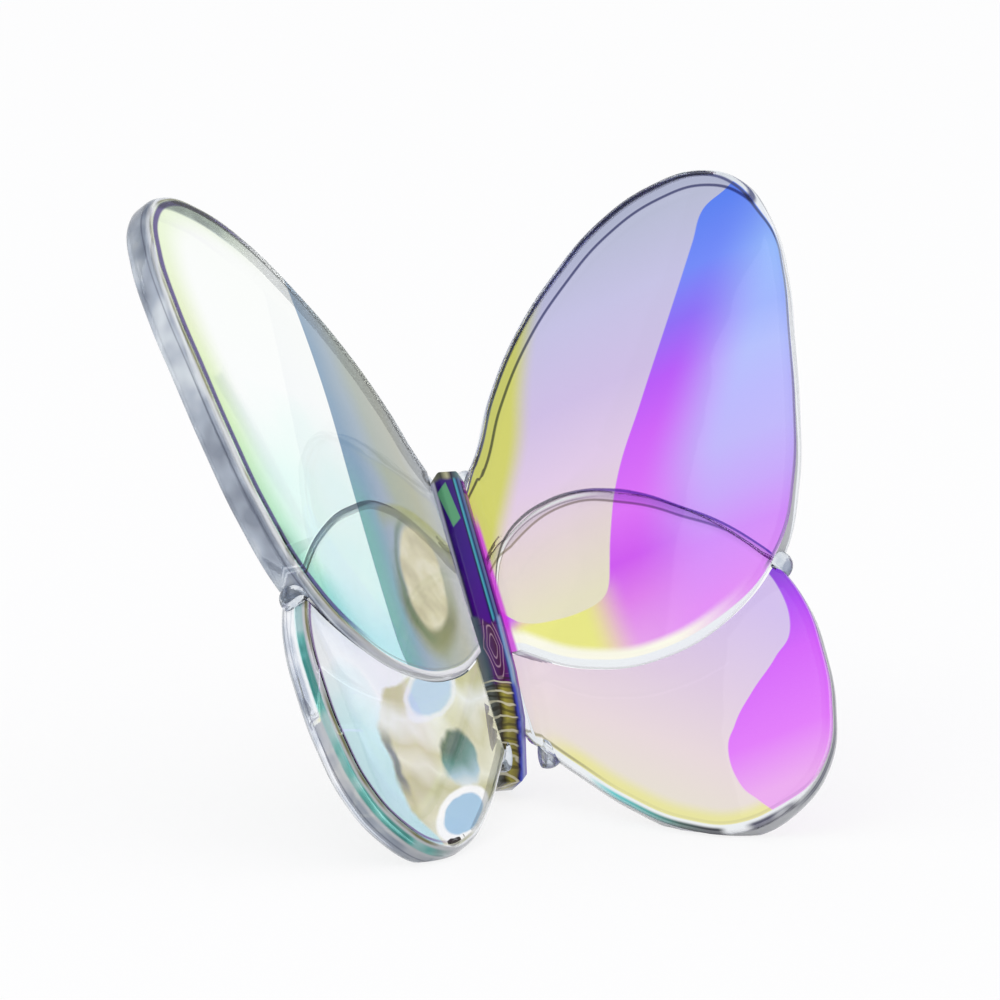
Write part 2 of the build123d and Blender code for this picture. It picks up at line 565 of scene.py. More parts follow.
@dataclass(frozen=True)
class Oval:
    """A patch on the left wing that is an upright oval as seen from the front, in millimetres.

    Its middle is across and up the wing, its radii are its half width and half height as seen, and
    its lean is how far its foot stands to the right, as a share of the height.
    """

    # How far a millimetre across and a millimetre up the left wing run in the front view
    DOWN = (-0.28, -0.81)
    RIGHT = (-0.65, -0.24)

    middle: Point
    radii: Point
    lean: float

    def measure(self, paint: Paint, at: WingPlaces) -> Value:
        """Measure a place against the oval.

        Args:
            paint: The material's tree.
            at: The numbers of the place.

        Returns:
            The distance from the middle, as a share of the radii.
        """
        across = at.across - self.middle[0]
        up = at.up - self.middle[1]
        down = across * self.DOWN[0] + up * self.DOWN[1]
        right = across * self.RIGHT[0] + up * self.RIGHT[1] - down * self.lean
        width = right * (1 / self.radii[0])
        height = down * (1 / self.radii[1])
        return paint.maths("SQRT", width * width + height * height)


@dataclass(frozen=True)
class WingFinish(ABC):
    """Polished crystal under a thin iridescent coating. Each plate paints its own face and rim.

    The edge is how far in the clear rim reaches, rim_reach is how far the hazier rim reaches, and
    streaks, clouds and the like are the scales of noises.
    """

    name: str
    plane: WingPlane
    edge: float = 2.55
    rim_reach: float = 1.5
    clear: Colour = tint(252, 253, 254)
    rim_clear: Colour = tint(240, 243, 246)
    sheen: float = 0.02
    index: float = 1.33
    roughness: float = 0.01
    coat_end: float = 0.3

    def places(self, paint: Paint) -> WingPlaces:
        """Gather the numbers that the finish is painted by.

        Args:
            paint: The material's tree.

        Returns:
            The numbers of a place on the plate.
        """
        place = paint.object_place()
        origin = self.plane.origin
        return WingPlaces(
            across=paint.along(place, origin, self.plane.spread),
            up=paint.along(place, origin, self.plane.rise),
            rim=paint.mapped(RIM_MAP),
            lap=paint.mapped(LAP_MAP),
            side=abs(paint.along(place, origin, Vector((1, 0, 0)))),
            place=place,
        )

    @abstractmethod
    def face(self, paint: Paint, at: WingPlaces) -> bpy.types.NodeSocket:
        """Paint the face inside the rim."""

    @abstractmethod
    def border(self, paint: Paint, at: WingPlaces, under: Any) -> bpy.types.NodeSocket:
        """Paint the rim over the face."""

    def material(self, part: Part) -> bpy.types.Material:
        """Make the finish of the face, or the hazier one of the rim.

        Args:
            part: The part of the plate.

        Returns:
            The finished material.
        """
        paint = Paint(bpy.data.materials.new(f"{self.name}_{part.name.lower()}"))
        at = self.places(paint)
        behind = paint.rise(at.rim, 0.0, -self.coat_end)
        colour = paint.over(self.face(paint, at), self.clear, behind)
        colour = self.border(paint, at, colour)
        if part is Part.FACE:
            colour = paint.deepen(colour, self.sheen)
        return paint.shader(
            {
                "Base Color": colour,
                "Roughness": self.roughness,
                "IOR": self.index,
                "Transmission Weight": part.value,
            }
        )


@dataclass(frozen=True)
class RightForewingFinish(WingFinish):
    """Lavender and yellow on the inner half, mostly a painted reflection of a pale card; magenta to
    blue on the outer one.
    """

    # Where the painted reflection of a pale card ends, across the wing for each height up it
    pale_line: Sequence[Point] = (
        (6, 11.6), (12, 13.8), (18, 15.7), (24, 18.2), (32, 23.3), (42, 29.8), (49, 34.2),
        (52.6, 36.4), (54.2, 39.8), (58, 45.0),
    )
    gold_line: Sequence[Point] = (
        (16, 1.0), (22, 3.2), (28, 6.4), (34, 9.2), (41, 11.4), (48, 14.2), (56, 19.0),
    )
    foot_line: Sequence[Point] = (
        (0.5, 18.0), (2.2, 13.6), (4, 11.7), (7, 10.7), (10, 10.3), (13, 10.6), (17, 12.0),
    )
    crest_line: Sequence[Point] = (
        (1.6, 19.4), (3.6, 22.4), (6.6, 24.5), (9.8, 25.1), (13.3, 24.7), (17.1, 23.1),
        (20.1, 21.1), (23.9, 17.5), (27.6, 13.7), (31.8, 7.7), (34.0, 4.2),
    )

    def face(self, paint: Paint, at: WingPlaces) -> bpy.types.NodeSocket:
        """Paint the pale painted reflection of a card and the coloured part beside it.

        Args:
            paint: The material's tree.
            at: The numbers of the place.

        Returns:
            The face's colour.
        """
        border = paint.curve(at.up, self.pale_line)
        beside = at.across - border
        warm = paint.ramp(
            at.up,
            (
                (4, tint(236, 168, 240)), (9, tint(228, 136, 240)), (14, tint(212, 100, 244)),
                (20, tint(226, 122, 252)), (28, tint(212, 108, 252)), (34, tint(190, 100, 252)),
                (40, tint(150, 116, 250)), (46, tint(122, 144, 252)), (54, tint(96, 134, 244)),
            ),
        )
        cool = paint.ramp(
            at.up,
            (
                (5, tint(230, 146, 248)), (12, tint(214, 146, 252)), (17, tint(203, 170, 252)),
                (23, tint(195, 186, 252)), (28, tint(190, 188, 254)), (33, tint(184, 194, 254)),
                (38, tint(164, 184, 254)), (45, tint(158, 194, 254)), (56, tint(96, 132, 236)),
            ),
        )
        colour = paint.over(warm, cool, paint.rise(beside, 2.5, 13.0))
        yellow = paint.rise(at.across, 15.5, 10.0) * paint.rise(at.up, 14, 11)
        colour = paint.over(colour, tint(238, 236, 142), yellow)
        # The painted reflection of a pale card, beige to lavender, with a gold band in it
        pale = paint.ramp(
            at.up,
            (
                (12, tint(234, 228, 200)), (20, tint(232, 216, 216)), (27, tint(230, 208, 234)),
                (36, tint(212, 196, 232)), (46, tint(203, 199, 231)), (55, tint(190, 193, 216)),
            ),
        )
        reach = paint.curve(at.up, self.gold_line)
        gold = paint.rise(at.across - reach, 1.3, -1.8) * paint.rise(at.up, 17, 24)
        pale = paint.over(pale, tint(214, 214, 108), gold * 0.95)
        # The painted reflection lies inside its edge and above its foot
        foot = paint.curve(at.across, self.foot_line)
        inside = paint.smooth_least(-beside, at.up - foot, 2.5)
        return paint.over(colour, pale, paint.rise(inside, -SOFT, SOFT))

    def border(self, paint: Paint, at: WingPlaces, under: Any) -> bpy.types.NodeSocket:
        """Paint the clear rim with painted dark lines, a painted highlight on the lower step, and the
        hindwing's arc behind the plate as a painted dark line with painted shade and painted
        highlights under it.

        Args:
            paint: The material's tree.
            at: The numbers of the place.
            under: The face's colour.

        Returns:
            The colour with the rim.
        """
        front = paint.rise(at.rim, 0.0, 0.4)
        rim = abs(at.rim) + 1.3 * paint.rise(at.across, 20, 36) * paint.rise(at.up, 52, 44)
        # The hindwing's edge seen through the plate: a painted dark line, with painted shade, a
        # painted highlight and a second painted dark line under it
        crest = paint.curve(at.across, self.crest_line)
        above = at.up - crest
        near = paint.rise(at.across, 17, 12) * front
        shade = paint.rise(above, -2.6, -0.2) * paint.rise(above, 0.2, -0.1) * front
        painted_arc_line = paint.band(above, -0.3, 0.14, 0.1) * front
        arc = paint.ramp(
            at.across,
            (
                (3, tint(84, 88, 84)), (12, tint(92, 96, 104)), (18, tint(104, 54, 170)),
                (32, tint(76, 44, 170)),
            ),
        )
        colour = paint.over(under, arc, shade * paint.rise(at.across, 8, 20) * 0.3)
        lower = paint.rise(at.lap, 0.5, 2.0)
        colour = paint.over(colour, arc, painted_arc_line * 0.85)
        bright = paint.band(above, -0.8, -0.42, 0.12) * near
        colour = paint.over(colour, tint(250, 252, 250), bright * 0.8)
        second = paint.band(above, -1.1, -0.95, 0.1) * near
        colour = paint.over(colour, arc, second * 0.6)
        # A painted highlight: a bright band along the lower step over the hindwing
        step = paint.rise(rim - self.edge, 1.3, 0.2) * lower
        colour = paint.over(colour, tint(255, 253, 236), step * paint.rise(at.across, 30, 18))
        # Painted dark lines along the rim, for the dark edges that the rounded rim shows
        line = paint.ramp(
            at.up,
            (
                (0, tint(250, 246, 190)), (8, tint(150, 110, 190)), (20, tint(92, 60, 150)),
                (40, tint(84, 96, 124)), (55, tint(80, 84, 130)),
            ),
        )
        thin = paint.band(rim, self.edge - 0.3, self.edge + 0.04, 0.1) * (1 - lower)
        colour = paint.over(colour, line, thin * 0.9)
        clear = paint.rise(rim, self.edge - 0.3, self.edge - 0.5)
        colour = paint.over(colour, self.rim_clear, clear)
        outer = paint.band(rim, 0.9, 1.25, 0.1) * (1 - lower) * front
        colour = paint.over(colour, tint(96, 102, 116), outer * 0.85)
        beside_body = paint.rise(at.side, 2.2, 2.06)
        reach = paint.rise(at.up, 29, 26) * paint.rise(at.up, 6, 10)
        return paint.over(colour, tint(214, 74, 224), beside_body * reach * 0.9)


@dataclass(frozen=True)
class RightHindwingFinish(WingFinish):
    """Pale beige and lavender, a painted reflection of a pale card; magenta at the outer corner."""

    edge: float = 2.3
    rim_clear: Colour = tint(240, 243, 245)
    streaks: float = 150.0
    pale_line: Sequence[Point] = (
        (-22, 23.6), (-19.5, 21.9), (-16.5, 20.5), (-13, 20.4), (-10, 22.0), (-7, 24.9), (-4, 28.5),
        (-1, 31.0), (3, 31.2), (9, 29.0),
    )

    def face(self, paint: Paint, at: WingPlaces) -> bpy.types.NodeSocket:
        """Paint the pale painted reflection of a card and the magenta corner.

        Args:
            paint: The material's tree.
            at: The numbers of the place.

        Returns:
            The face's colour.
        """
        border = paint.curve(at.up, self.pale_line)
        beside = at.across - border
        corner = paint.ramp(
            at.up,
            (
                (-19, tint(240, 176, 242)), (-13, tint(230, 128, 252)), (-4, tint(216, 104, 252)),
                (2, tint(182, 84, 246)), (9, tint(110, 80, 200)),
            ),
        )
        reach = at.across * 0.7 + at.up * 0.7
        # The painted reflection of a pale card, beige to lavender
        pale = paint.ramp(
            reach,
            (
                (-12, tint(240, 237, 200)), (-4, tint(236, 231, 212)), (4, tint(238, 222, 224)),
                (12, tint(228, 208, 230)), (22, tint(214, 195, 238)),
            ),
        )
        yellow = paint.rise(at.rim - self.edge, 1.8, 0.2) * paint.rise(at.up, 0, -6)
        pale = paint.over(pale, tint(238, 234, 150), yellow * 0.8)
        return paint.over(pale, corner, paint.rise(beside, -SOFT, SOFT))

    def border(self, paint: Paint, at: WingPlaces, under: Any) -> bpy.types.NodeSocket:
        """Paint the clear rim with its painted teal reflections, painted dark streaks and painted dark
        lines, and the lap's arc as faint painted shade.

        Args:
            paint: The material's tree.
            at: The numbers of the place.
            under: The face's colour.

        Returns:
            The colour with the rim.
        """
        front = paint.rise(at.rim, 0.0, 0.4)
        rim = abs(at.rim) + 1.3 * paint.rise(at.across, 22, 31)
        # A painted dark line along the rim's inner edge
        line = paint.band(rim, self.edge - 0.25, self.edge + 0.03, 0.1)
        rim_shade_colour = paint.ramp(
            at.across, ((2, tint(150, 146, 110)), (18, tint(120, 112, 110)), (27, tint(92, 66, 150)))
        )
        colour = paint.over(under, rim_shade_colour, line * (0.15 + 0.6 * paint.rise(at.up, -12, -4)))
        clear = paint.rise(rim, self.edge - 0.25, self.edge - 0.45)
        colour = paint.over(colour, self.rim_clear, clear)
        # Painted teal reflections and painted dark streaks on the rim's side band
        streak = paint.band(rim, 0.55, 1.6, 0.2) * front * paint.rise(at.up, -6, -10)
        rim_reflections_and_shade = paint.ramp(
            at.across,
            (
                (4.5, tint(224, 238, 240)), (7.0, tint(96, 200, 202)), (10.0, tint(72, 158, 152)),
                (13.0, tint(52, 84, 78)), (15.5, tint(30, 34, 46)),
            ),
        )
        colour = paint.over(colour, rim_reflections_and_shade, streak * paint.band(at.across, 5.0, 17.2, 0.6) * 0.95)
        broken = paint.rise(paint.noise(at.place, self.streaks), 0.35, 0.5)
        dark = streak * paint.band(at.across, 20.0, 25.5, 0.7) * (0.4 + 0.5 * broken)
        colour = paint.over(colour, tint(40, 38, 74), dark)
        # A painted dark line at the outer edge
        edge_line = paint.band(abs(at.rim), 0.0, 0.35, 0.1) * paint.rise(at.across, 24, 28)
        colour = paint.over(colour, tint(88, 94, 124), edge_line * 0.8)
        # The lap's arc: faint painted shade on the rim where it shows through the forewing
        arc = paint.ramp(
            at.across,
            (
                (3, tint(150, 156, 130)), (12, tint(160, 166, 160)), (18, tint(140, 84, 200)),
                (32, tint(96, 60, 190)),
            ),
        )
        lapped = paint.rise(at.lap, 0.3, 0.8)
        return paint.over(colour, arc, paint.rise(rim, self.edge, self.edge - 0.3) * lapped * 0.12)


@dataclass(frozen=True)
class LeftForewingFinish(WingFinish):
    """Nearly white with green and aqua tints, a painted reflection of a pale card, and a beige wedge
    toward the body.
    """

    rim_reach: float = 2.4
    cloud: float = 90.0
    swirl: float = 260.0
    streaks: float = 160.0
    almond: Oval = Oval((10.6, 15.6), (2.2, 5.8), 0.28)
    wedge_line: Sequence[Point] = (
        (2, 17.6), (12, 19.2), (24, 19.6), (40, 19.4), (56, 20.0),
    )

    def face(self, paint: Paint, at: WingPlaces) -> bpy.types.NodeSocket:
        """Paint the bright outer part, a painted reflection of a pale card, and the wedge beside the
        body.

        Args:
            paint: The material's tree.
            at: The numbers of the place.

        Returns:
            The face's colour.
        """
        cloud = paint.noise(at.place, self.cloud)
        # The painted reflection of a pale card: nearly white, with a green fringe toward the rim
        bright = paint.ramp(
            at.up + (cloud - 0.5) * 16,
            (
                (4, tint(196, 244, 246)), (14, tint(226, 253, 248)), (24, tint(240, 255, 250)),
                (34, tint(254, 255, 254)), (54, tint(254, 255, 252)),
            ),
        )
        fringe = paint.rise(at.rim - self.edge, 5.0, 0.2)
        green = paint.ramp(
            at.up,
            (
                (6, tint(120, 210, 200)), (16, tint(170, 232, 180)), (28, tint(206, 240, 160)),
                (40, tint(222, 236, 170)), (54, tint(232, 248, 204)),
            ),
        )
        bright = paint.over(bright, green, fringe * 0.7 * paint.rise(at.across, 22, 30))
        wedge = paint.ramp(
            at.across + (cloud - 0.5) * 3 - at.up * 0.1 + 3,
            (
                (4, tint(196, 200, 208)), (8, tint(186, 188, 176)), (12, tint(176, 184, 176)),
                (15, tint(164, 180, 194)), (18, tint(142, 168, 192)),
            ),
        )
        border = paint.curve(at.up, self.wedge_line)
        beside = border - at.across
        colour = paint.over(bright, wedge, paint.rise(beside, -SOFT, SOFT))
        teal = paint.rise(beside, 5.0, 0.2) * paint.rise(beside, -0.1, 0.2) * paint.rise(at.up, 32, 18)
        colour = paint.over(colour, tint(128, 190, 178), teal * 0.85)
        swirl = paint.noise(at.place, self.swirl)
        shift = (cloud - 0.5) * 0.3 + (swirl - 0.5) * 0.15
        almond = self.almond.measure(paint, at) + shift
        crease = paint.rise(almond, 1.6, 1.15) * paint.rise(at.up, 22, 8)
        olive = paint.ramp(
            at.up, ((4, tint(160, 164, 104)), (11, tint(112, 116, 54)), (18, tint(150, 166, 120)))
        )
        colour = paint.over(colour, olive, crease * 0.8)
        inside = paint.ramp(
            swirl * 10,
            (
                (3.4, tint(206, 200, 166)), (5.0, tint(222, 216, 182)), (6.6, tint(232, 228, 200)),
            ),
        )
        green = paint.band(almond, 1.05, 1.2, 0.08) * paint.rise(at.across, 10, 13)
        colour = paint.over(colour, tint(96, 126, 92), green * 0.55)
        return paint.over(colour, inside, paint.rise(almond, 1.06, 0.88) * 0.9)

    def border(self, paint: Paint, at: WingPlaces, under: Any) -> bpy.types.NodeSocket:
        """Paint the rim's violet and dark lines and grey side band as painted shade, its gold lines as
        painted reflections, and painted shade along the lap's arc.

        Args:
            paint: The material's tree.
            at: The numbers of the place.
            under: The face's colour.

        Returns:
            The colour with the rim.
        """
        front = paint.rise(at.rim, 0.0, 0.4)
        rim = abs(at.rim)
        # Painted shade inside the lap, along the hindwing's edge seen through the plate
        arc = paint.rise(at.lap, 5.2, 2.2) * paint.rise(at.lap, 1.4, 2.2)
        arc = arc * front * paint.rise(at.across, 17, 15)
        colour = paint.over(under, tint(168, 172, 112), arc * 0.6)
        # Painted dark lines along the rim's inner edge
        outer = paint.rise(at.across, 22, 28)
        violet = paint.band(at.rim, self.edge - 0.2, self.edge + 0.5, 0.15)
        colour = paint.over(colour, tint(84, 62, 140), violet * outer * 0.9)
        thin = paint.band(at.rim, self.edge - 0.15, self.edge + 0.02, 0.08) * (1 - outer)
        colour = paint.over(colour, tint(150, 158, 166), thin * 0.6)
        clear = paint.rise(rim, self.edge - 0.25, self.edge - 0.4)
        colour = paint.over(colour, self.rim_clear, clear)
        streaks = paint.noise(at.place, self.streaks)
        # Gold painted reflections along the rim
        gold = paint.band(at.rim, self.edge - 0.6, self.edge - 0.3, 0.12)
        gold = gold * paint.rise(streaks, 0.3, 0.6)
        colour = paint.over(colour, tint(140, 140, 74), gold * outer * 0.9)
        # The side band's painted shade, grey to pale
        side_band_shade = paint.band(at.rim, -2.4, 1.6, 0.25)
        band = paint.ramp(
            streaks * 10,
            (
                (3.6, tint(104, 116, 138)), (5.0, tint(160, 172, 190)), (6.4, tint(222, 230, 238)),
            ),
        )
        colour = paint.over(colour, band, side_band_shade * outer * 0.9)
        # A painted dark line on the rim
        dark = paint.band(at.rim, 0.95, 1.1, 0.08)
        return paint.over(colour, tint(80, 84, 108), dark * 0.6)


@dataclass(frozen=True)
class LeftHindwingFinish(WingFinish):
    """Pale aqua outside, khaki inside, with a few bright reflections."""

    edge: float = 2.3
    rim_reach: float = 2.4
    cloud: float = 110.0
    ripple: float = 320.0
    streaks: float = 180.0
    # Three painted reflections, each a bright oval patch
    upper: Oval = Oval((14.6, -0.4), (2.5, 3.0), -0.25)
    shell: Oval = Oval((12.0, -7.6), (2.4, 3.0), 0.3)
    lower: Oval = Oval((13.9, -15.3), (2.0, 2.1), -0.3)
    khaki_line: Sequence[Point] = (
        (-21, 18.6), (-18, 22.4), (-14, 24.8), (-9, 25.0), (-4, 23.0), (0, 18.6), (5, 12.0),
    )

    def face(self, paint: Paint, at: WingPlaces) -> bpy.types.NodeSocket:
        """Paint the aqua and khaki parts and the bright reflections.

        Args:
            paint: The material's tree.
            at: The numbers of the place.

        Returns:
            The face's colour.
        """
        cloud = paint.noise(at.place, self.cloud)
        shift = cloud - 0.5
        ripple = paint.noise(at.place, self.ripple) - 0.5
        aqua = paint.ramp(
            at.up + shift * 14,
            (
                (-18, tint(198, 232, 238)), (-8, tint(214, 244, 248)), (-2, tint(250, 252, 254)),
                (8, tint(222, 230, 238)),
            ),
        )
        khaki = paint.ramp(
            at.up + at.across * 0.3 + shift * 16,
            (
                (-13, tint(228, 226, 204)), (-9, tint(204, 202, 162)), (-5, tint(236, 236, 218)),
                (-1, tint(214, 212, 178)), (3, tint(240, 242, 236)), (7, tint(206, 204, 164)),
            ),
        )
        limit = paint.curve(at.up, self.khaki_line)
        inner = limit - at.across + shift * 3 + ripple * 2
        colour = paint.over(aqua, khaki, paint.rise(inner, -0.5, 0.5))
        crescent = paint.band(inner, 0.0, 1.4, 0.5) * paint.band(at.up, -15.5, -9.0, 2.0)
        colour = paint.over(colour, tint(88, 108, 122), crescent * 0.75)
        # The painted reflections: bright ovals with soft, ragged edges
        upper = self.upper.measure(paint, at) + shift * 0.7 + ripple * 0.3
        colour = paint.over(colour, tint(240, 244, 250), paint.rise(upper, 1.16, 1.02) * 0.8)
        colour = paint.over(colour, tint(190, 216, 238), paint.rise(upper, 0.98, 0.78) * 0.9)
        shell = self.shell.measure(paint, at) + shift * 0.8 + ripple * 0.4
        shades = paint.ramp(
            at.up + at.across * 0.5 + cloud * 8,
            (
                (-2.5, tint(244, 248, 250)), (1.0, tint(168, 200, 214)), (3.5, tint(92, 146, 140)),
                (5.5, tint(74, 104, 96)),
            ),
        )
        colour = paint.over(colour, shades, paint.rise(shell, 1.08, 0.86) * 0.9)
        lower = self.lower.measure(paint, at) + shift * 0.5 + ripple * 0.2
        colour = paint.over(colour, tint(255, 255, 255), paint.rise(lower, 1.46, 1.26))
        return paint.over(colour, tint(172, 206, 232), paint.rise(lower, 1.06, 0.9))

    def border(self, paint: Paint, at: WingPlaces, under: Any) -> bpy.types.NodeSocket:
        """Paint the rim: teal and gold painted reflections, violet and dark lines of painted shade,
        and a grey side band of painted shade.

        Args:
            paint: The material's tree.
            at: The numbers of the place.
            under: The face's colour.

        Returns:
            The colour with the rim.
        """
        rim = abs(at.rim)
        outer = paint.rise(at.across, 16, 22)
        # A violet line of painted shade along the rim's inner edge
        violet = paint.band(at.rim, self.edge + 0.05, self.edge + 0.35, 0.12)
        colour = paint.over(under, tint(120, 76, 150), violet * outer * 0.85)
        clear = paint.rise(rim, self.edge - 0.1, self.edge - 0.25)
        colour = paint.over(colour, self.rim_clear, clear)
        streaks = paint.noise(at.place, self.streaks)
        # Gold painted reflections
        gold = paint.band(at.rim, self.edge - 0.45, self.edge - 0.1, 0.12)
        gold = gold * paint.rise(streaks, 0.3, 0.6)
        colour = paint.over(colour, tint(140, 138, 66), gold * 0.9)
        # Teal painted reflections on the side band
        rim_reflections_and_shade = paint.ramp(
            streaks * 10,
            (
                (3.8, tint(56, 168, 158)), (5.0, tint(104, 210, 198)), (6.4, tint(200, 242, 240)),
            ),
        )
        teal = paint.band(at.rim, 0.7, 1.6, 0.15)
        colour = paint.over(colour, rim_reflections_and_shade, teal * outer * 0.95)
        # The side band's painted shade
        side_band_shade = paint.band(at.rim, -1.2, 0.3, 0.2)
        grey_band_shading = paint.ramp(
            streaks * 10,
            (
                (3.6, tint(168, 178, 196)), (5.0, tint(204, 212, 224)), (6.4, tint(244, 246, 250)),
            ),
        )
        colour = paint.over(colour, grey_band_shading, side_band_shade * outer)
        # A painted dark line on the back of the rim
        dark = paint.band(at.rim, -0.5, -0.35, 0.1)
        return paint.over(colour, tint(110, 116, 140), dark * 0.7)


@dataclass(frozen=True)
class BondFinish:
    """The bond inside a lap, which is not seen, so that both plates read as one glass."""

    name: str = "clear_bond"

    def material(self) -> bpy.types.Material:
        """Make the finish."""
        paint = Paint(bpy.data.materials.new(self.name))
        return paint.shader({"Base Color": tint(236, 238, 240), "Roughness": 0.3, "Alpha": 0.0})


@dataclass(frozen=True)
class BodyFinish:
    """Dark violet coating on faceted crystal, with bands that follow the facets; the pale and cyan
    bands are painted reflections.
    """

    name: str = "violet_body"
    plane: WingPlane = WingPlane(Side.RIGHT)
    roughness: float = 0.04
    index: float = 1.3
    through: float = 0.15
    cloud: float = 260.0

    def thorax(self, paint: Paint, across: Value, up: Value) -> bpy.types.NodeSocket:
        """Paint the thorax: bright bevels and cyan lines, which are painted reflections, the violet
        facet and the dark cap.

        Args:
            paint: The material's tree.
            across: Millimetres across the body.
            up: Millimetres up the hinge line.

        Returns:
            The thorax's colour.
        """
        # Across the body: the pale bevels and the cyan and blue lines are painted reflections on the
        # facets
        stripes = paint.ramp(
            across,
            (
                (-2.05, tint(190, 194, 216)), (-1.72, tint(218, 220, 238)), (-1.56, tint(62, 54, 100)),
                (-1.44, tint(52, 14, 122)), (0.12, tint(68, 12, 146)), (0.34, tint(22, 18, 66)),
                (0.5, tint(84, 190, 206)), (0.66, tint(60, 130, 170)), (0.78, tint(28, 40, 88)),
                (0.98, tint(104, 126, 176)), (1.16, tint(124, 132, 190)), (1.3, tint(36, 28, 90)),
                (1.55, tint(150, 46, 190)), (1.9, tint(222, 70, 222)),
            ),
        )
        lighter = paint.ramp(
            up, ((13, tint(96, 14, 150)), (22, tint(60, 16, 140)), (33, tint(40, 20, 100)))
        )
        colour = paint.over(stripes, lighter, paint.band(across, -1.4, 0.15, 0.08) * 0.6)
        patch = paint.band(across + (up - 29.5) * 0.12, -1.42, -0.2, 0.06)
        patch = patch * paint.band(up - across, 27.6, 33.0, 0.12)
        colour = paint.over(colour, tint(96, 168, 122), patch)
        cap = paint.ramp(
            across,
            (
                (-2, tint(150, 150, 130)), (-0.9, tint(60, 64, 52)), (-0.2, tint(190, 188, 150)),
                (0.3, tint(40, 36, 60)), (1.2, tint(120, 150, 150)), (2, tint(220, 226, 236)),
            ),
        )
        return paint.over(colour, cap, paint.rise(up, 32.6, 33.2))

    def abdomen(
        self, paint: Paint, across: Value, up: Value, place: bpy.types.NodeSocket
    ) -> bpy.types.NodeSocket:
        """Paint the abdomen: dark violet with pale loops, which are painted reflections, then gold
        with wavy lines.

        Args:
            paint: The material's tree.
            across: Millimetres across the body.
            up: Millimetres up the hinge line.
            place: The place on the piece, in metres.

        Returns:
            The abdomen's colour.
        """
        cloud = paint.noise(place, self.cloud)
        colour = paint.ramp(
            across,
            (
                (-2.0, tint(150, 160, 170)), (-1.4, tint(90, 110, 124)), (-1.0, tint(84, 40, 110)),
                (0.0, tint(74, 22, 70)), (0.6, tint(96, 30, 120)), (0.8, tint(50, 70, 140)),
                (1.0, tint(140, 176, 224)), (1.35, tint(200, 222, 240)), (1.6, tint(110, 120, 200)),
                (1.9, tint(196, 70, 206)),
            ),
        )
        # The pale loops are painted reflections on the rounded abdomen
        reach_across = abs(across + 0.25 + (cloud - 0.5) * 0.5) * 0.95
        reach_up = abs(up - 10.9) * 0.25
        ring = paint.maths("SMOOTH_MAX", reach_across + reach_up * 0.6, reach_up, 0.3)
        loops = paint.band(ring, 0.36, 0.4, 0.035) + paint.band(ring, 0.62, 0.66, 0.035)
        loops = loops + paint.band(ring, 0.92, 0.98, 0.04)
        colour = paint.over(colour, tint(226, 186, 208), loops * paint.rise(across, 1.1, 0.8) * 0.7)
        gold = paint.ramp(
            across + (cloud - 0.5) * 0.8,
            (
                (-1.6, tint(110, 116, 110)), (-0.9, tint(60, 52, 30)), (-0.3, tint(176, 166, 70)),
                (0.5, tint(140, 128, 60)), (0.8, tint(30, 28, 96)), (1.1, tint(84, 92, 214)),
                (1.5, tint(170, 180, 236)), (2.0, tint(120, 90, 206)),
            ),
        )
        colour = paint.over(colour, gold, paint.rise(up + cloud, 7.4, 6.4))
        wave = paint.maths("SINE", (up + across * 0.2 + (cloud - 0.5) * 2.5) * 4.9)
        lines = paint.rise(wave, 0.75, 0.95) * paint.rise(up, 7.6, 7.0) * paint.rise(across, 1.0, 0.6)
        dark = paint.rise(wave, -0.6, -0.9) * paint.rise(up, 7.6, 7.0) * paint.rise(across, 1.0, 0.6)
        colour = paint.over(colour, tint(48, 42, 30), dark * 0.6)
        return paint.over(colour, tint(236, 230, 200), lines * 0.75)

    def material(self) -> bpy.types.Material:
        """Make the finish.

        Returns:
            The finished material.
        """
        paint = Paint(bpy.data.materials.new(self.name))
        place = paint.object_place()
        across = paint.along(place, self.plane.origin, Vector((1, 0, 0)))
        up = paint.along(place, self.plane.origin, self.plane.rise)
        depth = paint.along(place, self.plane.origin, self.plane.depth)
        crease = paint.rise(up - abs(across) * 0.9, 13.9, 13.3)
        abdomen = self.abdomen(paint, across, up, place)
        colour = paint.over(self.thorax(paint, across, up), abdomen, crease)
        back = paint.ramp(
            up, ((-2, tint(140, 140, 170)), (12, tint(110, 84, 170)), (34, tint(70, 60, 140)))
        )
        colour = paint.over(colour, back, paint.rise(depth + up * 0.25, 9.0, 11.0) * 0.7)
        return paint.shader(
            {
                "Base Color": colour,
                "Roughness": self.roughness,
                "IOR": self.index,
                "Transmission Weight": self.through,
            }
        )


@dataclass(frozen=True)
class ClearFinish:
    """Clear crystal of the small beads."""

    name: str = "clear_bead"
    roughness: float = 0.02
    index: float = 1.45
    swirl: float = 500.0

    def material(self) -> bpy.types.Material:
        """Make the finish.

        Returns:
            The finished material.
        """
        paint = Paint(bpy.data.materials.new(self.name))
        swirl = paint.noise(paint.object_place(), self.swirl) * 10
        colour = paint.ramp(
            swirl, ((3.4, tint(120, 130, 156)), (4.6, tint(206, 214, 224)), (6.0, tint(240, 243, 246)))
        )
        return paint.shader(
            {
                "Base Color": colour,
                "Roughness": self.roughness,
                "IOR": self.index,
                "Transmission Weight": 1.0,
            }
        )


# Wing plates


